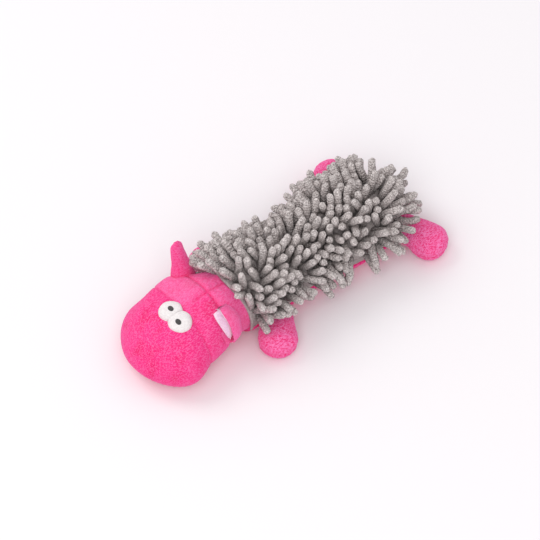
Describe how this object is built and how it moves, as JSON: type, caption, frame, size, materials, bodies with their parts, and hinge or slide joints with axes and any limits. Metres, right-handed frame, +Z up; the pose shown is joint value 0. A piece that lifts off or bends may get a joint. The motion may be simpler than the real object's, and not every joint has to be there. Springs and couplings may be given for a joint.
{
  "type": "squeaky plush dog toy",
  "caption": "Plush dog toy lying on its belly: a stuffed head with cloth ears and felt eyes, stub legs, a trunk covered in chenille noodles, and a squeaker inside.",
  "frame": {"origin": "on the floor under the middle of the trunk, at the belly panel's flat resting strip", "axes": "+Y from the nose towards the rump, +X towards the toy's left side, +Z up from the floor"},
  "size_m": [0.115, 0.2597, 0.075],
  "materials": {
    "pink_plush": "short velvet pile",
    "pale_plush": "short velvet pile",
    "grey_chenille": "fuzzy chenille",
    "white_felt": "soft felt",
    "black_felt": "soft felt",
    "fibre_filling": "loose fibre",
    "soft_plastic": "satin",
    "reed_brass": "bright"
  },
  "bodies": {
    "trunk": {"mop_front": "grey_chenille", "mop_shoulders": "grey_chenille", "mop_waist": "grey_chenille", "mop_rump": "grey_chenille", "belly_panel": "pink_plush", "trunk_filling_lower": "fibre_filling", "trunk_filling_upper": "fibre_filling", "squeaker_cup": "soft_plastic", "squeaker_reed_tube": "soft_plastic", "squeaker_reed": "reed_brass"},
    "head": {"muzzle_panel": "pink_plush", "forehead_panel": "pink_plush", "crown_panel_left": "pink_plush", "crown_panel_right": "pink_plush", "chin_panel": "pink_plush", "head_filling": "fibre_filling", "eye_pad_left": "white_felt", "eye_pad_right": "white_felt", "pupil_left": "black_felt", "pupil_right": "black_felt"},
    "left_ear": {"ear_back_left": "pink_plush", "ear_lining_left": "pale_plush"},
    "right_ear": {"ear_back_right": "pink_plush", "ear_lining_right": "pale_plush"},
    "front_left_leg": {"front_left_leg_cover": "pink_plush", "front_left_leg_filling": "fibre_filling"},
    "front_right_leg": {"front_right_leg_cover": "pink_plush", "front_right_leg_filling": "fibre_filling"},
    "rear_left_leg": {"rear_left_leg_cover": "pink_plush", "rear_left_leg_filling": "fibre_filling"},
    "rear_right_leg": {"rear_right_leg_cover": "pink_plush", "rear_right_leg_filling": "fibre_filling"},
    "squeaker_top": {"squeaker_bellows": "soft_plastic"}
  },
  "joints": [
    {"name": "head_nod", "type": "hinge", "parent": "trunk", "child": "head", "pos_m": [0, -0.10019, 0.026], "axis": [1, 0, 0], "range_deg": [-10, 25], "stiffness_Nm_per_rad": 0.08},
    {"name": "left_ear_flop", "type": "hinge", "parent": "head", "child": "left_ear", "pos_m": [0.01262, -0.09484, 0.05361], "axis": [0, 1, 0], "range_deg": [-70, 0], "stiffness_Nm_per_rad": 0.002},
    {"name": "right_ear_flop", "type": "hinge", "parent": "head", "child": "right_ear", "pos_m": [-0.02138, -0.09513, 0.04167], "axis": [0, 1, 0], "range_deg": [-60, 0], "stiffness_Nm_per_rad": 0.002},
    {"name": "front_left_leg_swing", "type": "hinge", "parent": "trunk", "child": "front_left_leg", "pos_m": [0.02702, -0.052, 0.014], "axis": [0, -1, 0], "range_deg": [-25, 12], "stiffness_Nm_per_rad": 0.02},
    {"name": "front_right_leg_swing", "type": "hinge", "parent": "trunk", "child": "front_right_leg", "pos_m": [-0.02702, -0.052, 0.014], "axis": [0, 1, 0], "range_deg": [-25, 12], "stiffness_Nm_per_rad": 0.02},
    {"name": "rear_left_leg_swing", "type": "hinge", "parent": "trunk", "child": "rear_left_leg", "pos_m": [0.02086, 0.069, 0.014], "axis": [0, -1, 0], "range_deg": [-25, 12], "stiffness_Nm_per_rad": 0.02},
    {"name": "rear_right_leg_swing", "type": "hinge", "parent": "trunk", "child": "rear_right_leg", "pos_m": [-0.02771, 0.057, 0.014], "axis": [0, 1, 0], "range_deg": [-25, 12], "stiffness_Nm_per_rad": 0.02},
    {"name": "squeaker_press", "type": "slide", "parent": "trunk", "child": "squeaker_top", "axis": [0, 0, -1], "range_m": [0, 0.005], "stiffness_N_per_m": 800}
  ]
}
